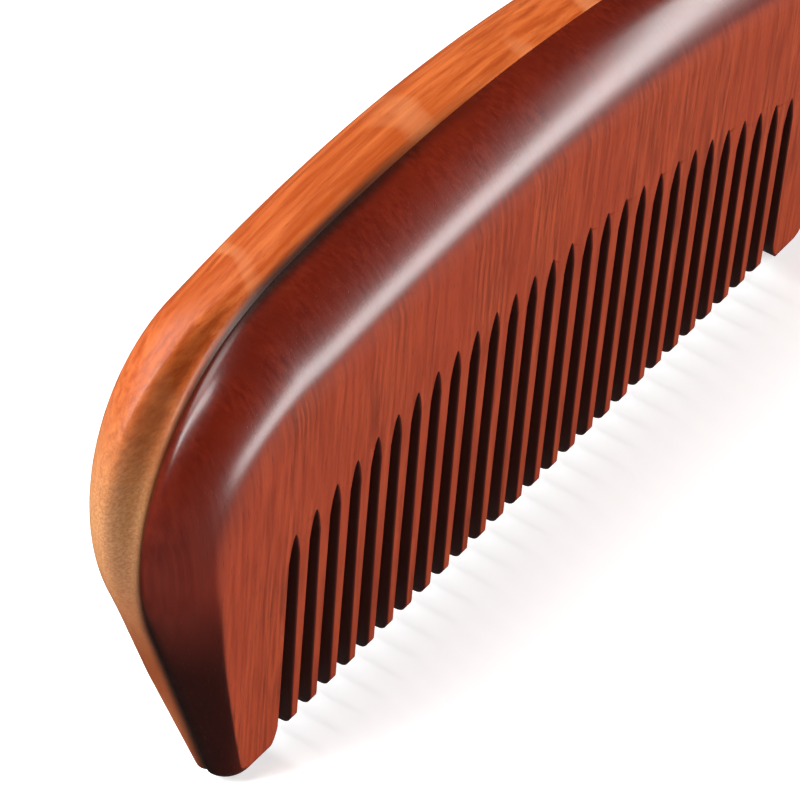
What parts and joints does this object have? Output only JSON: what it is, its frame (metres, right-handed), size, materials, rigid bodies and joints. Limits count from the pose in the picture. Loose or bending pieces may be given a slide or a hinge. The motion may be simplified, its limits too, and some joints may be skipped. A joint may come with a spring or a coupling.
{
  "type": "beard comb",
  "caption": "Half-moon hand comb of two wooden leaves glued face to face, thick rounded spine, groove along the joint, one row of sawn teeth.",
  "frame": {"origin": "centre of the comb's footprint, at the level of the guard tips", "axes": "+X along the row of teeth toward the far guard, +Y from the front face to the back, +Z from the tips to the spine"},
  "size_m": [0.0962, 0.0148, 0.0484],
  "materials": {
    "red_wood": "hand-polished and waxed",
    "orange_wood": "hand-polished and waxed",
    "dark_glue": "thin dark wood glue"
  },
  "bodies": {
    "root": {"front_leaf": "red_wood", "rear_leaf": "orange_wood", "glue_line": "dark_glue"}
  },
  "joints": []
}
